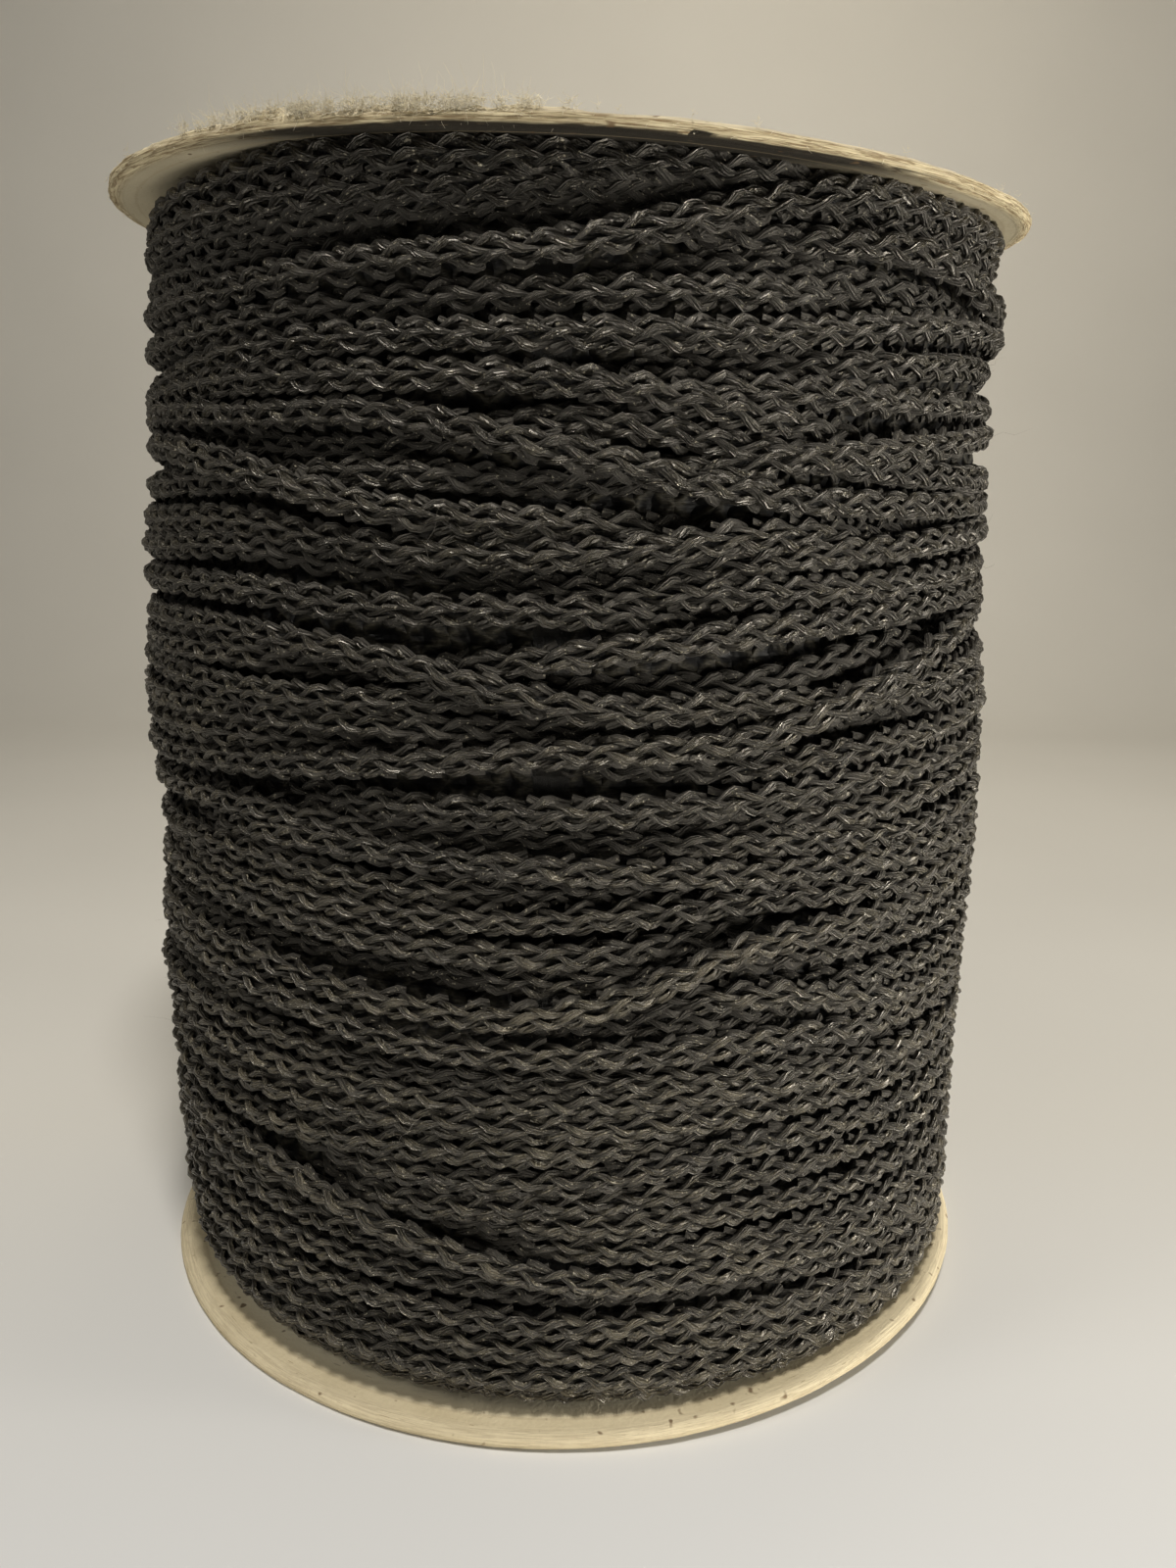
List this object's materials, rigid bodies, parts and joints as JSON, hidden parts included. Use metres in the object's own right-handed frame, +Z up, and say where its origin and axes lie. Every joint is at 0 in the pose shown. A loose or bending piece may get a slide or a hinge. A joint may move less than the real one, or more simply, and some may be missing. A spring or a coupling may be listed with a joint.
{
  "type": "macrame cord on a flanged spool",
  "caption": "Dark braided macrame cord wound in close, crossing turns on a spool between two round board flanges.",
  "frame": {"origin": "on the spool's axis, at the flat underside of the lower flange", "axes": "+Z up along the spool's axis, the pictured side towards -Y, +X to its right"},
  "size_m": [0.1524, 0.1524, 0.1864],
  "materials": {
    "dark_cord": "charcoal braided cotton cord, matt with small glints",
    "pressed_board": "uncoated cream-grey pressed board with frayed edges"
  },
  "bodies": {
    "root": {"flange_bottom": "pressed_board", "flange_top": "pressed_board", "winding": "dark_cord"}
  },
  "joints": []
}
